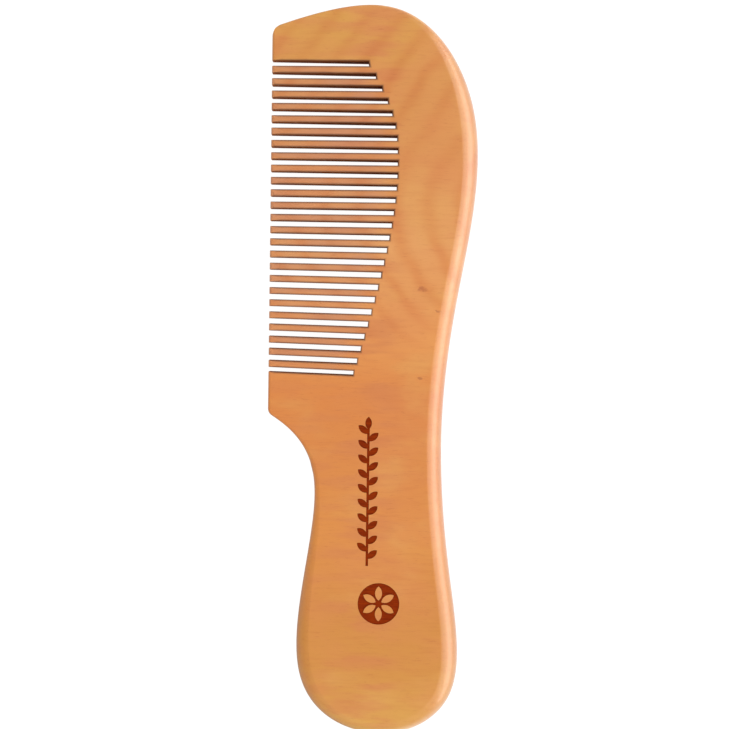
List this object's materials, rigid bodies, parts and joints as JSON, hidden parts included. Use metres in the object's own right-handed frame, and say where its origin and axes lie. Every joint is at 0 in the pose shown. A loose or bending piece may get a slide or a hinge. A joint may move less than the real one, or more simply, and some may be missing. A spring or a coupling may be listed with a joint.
{
  "type": "hair comb",
  "caption": "Flat wooden hair comb with a rounded spine, fine wedge teeth between two guards and a shaped handle.",
  "frame": {"origin": "centre of the comb's length and width, on the back face it rests on", "axes": "+Y from the handle's end to the crown, +X from the tooth tips to the spine, +Z out of the front face"},
  "size_m": [0.0508, 0.1789, 0.0095],
  "materials": {
    "wood": "fine-sanded, oiled satin"
  },
  "bodies": {
    "root": {"comb_body": "wood", "front_guard": "wood", "heel_guard": "wood", "tooth_01": "wood", "tooth_02": "wood", "tooth_03": "wood", "tooth_04": "wood", "tooth_05": "wood", "tooth_06": "wood", "tooth_07": "wood", "tooth_08": "wood", "tooth_09": "wood", "tooth_10": "wood", "tooth_11": "wood", "tooth_12": "wood", "tooth_13": "wood", "tooth_14": "wood", "tooth_15": "wood", "tooth_16": "wood", "tooth_17": "wood", "tooth_18": "wood", "tooth_19": "wood", "tooth_20": "wood", "tooth_21": "wood", "tooth_22": "wood", "tooth_23": "wood", "tooth_24": "wood", "tooth_25": "wood"}
  },
  "joints": []
}
